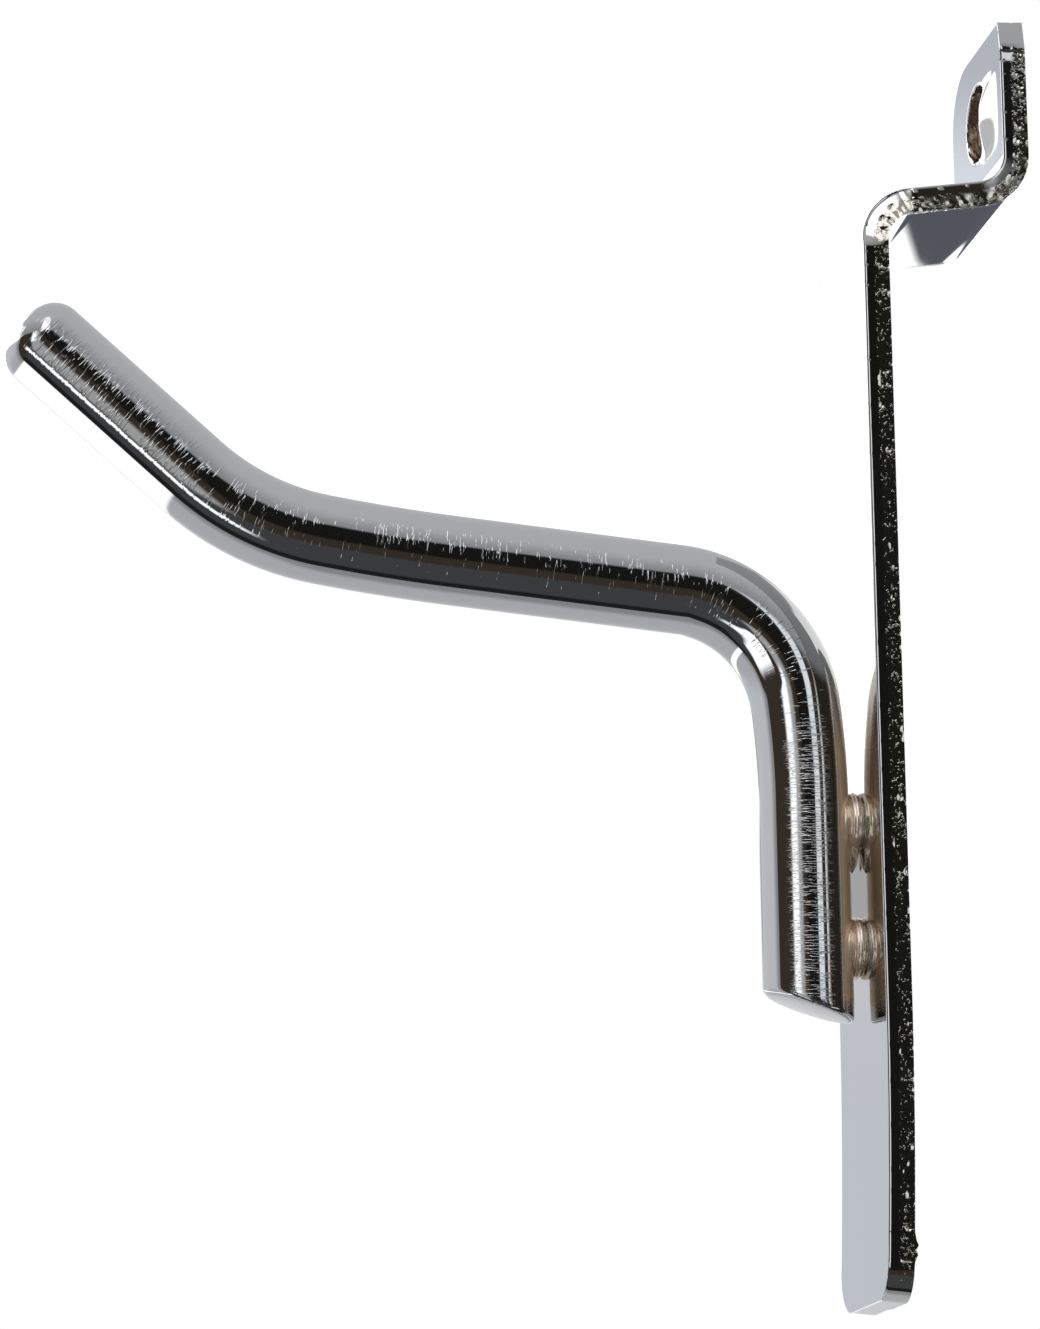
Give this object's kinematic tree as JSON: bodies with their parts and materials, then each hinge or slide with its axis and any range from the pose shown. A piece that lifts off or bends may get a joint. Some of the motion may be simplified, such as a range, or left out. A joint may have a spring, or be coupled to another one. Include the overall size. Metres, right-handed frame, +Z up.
{
  "type": "slatwall hook",
  "caption": "Slatwall hook: a folded steel strip back plate with a tongue, and a bent round wire prong with an upturned tip, chrome plated.",
  "frame": {"origin": "on the back face of the plate, mid width, at the middle of its flat length: the point where the hook rests on the panel", "axes": "+Z up along the plate, -Y forward along the prong, +Y into the panel, X across the strip"},
  "size_m": [0.013, 0.0685, 0.0872],
  "materials": {
    "plate_chrome": "bright chrome plate on rolled steel strip, edges rough from shearing",
    "wire_chrome": "bright chrome plate on drawn steel wire, fine cross scratches",
    "weld_chrome": "bright chrome plate over a lumpy weld, warm tinge"
  },
  "bodies": {
    "root": {"back_plate": "plate_chrome", "hook_rod": "wire_chrome", "upper_weld": "weld_chrome", "lower_weld": "weld_chrome"}
  },
  "joints": []
}
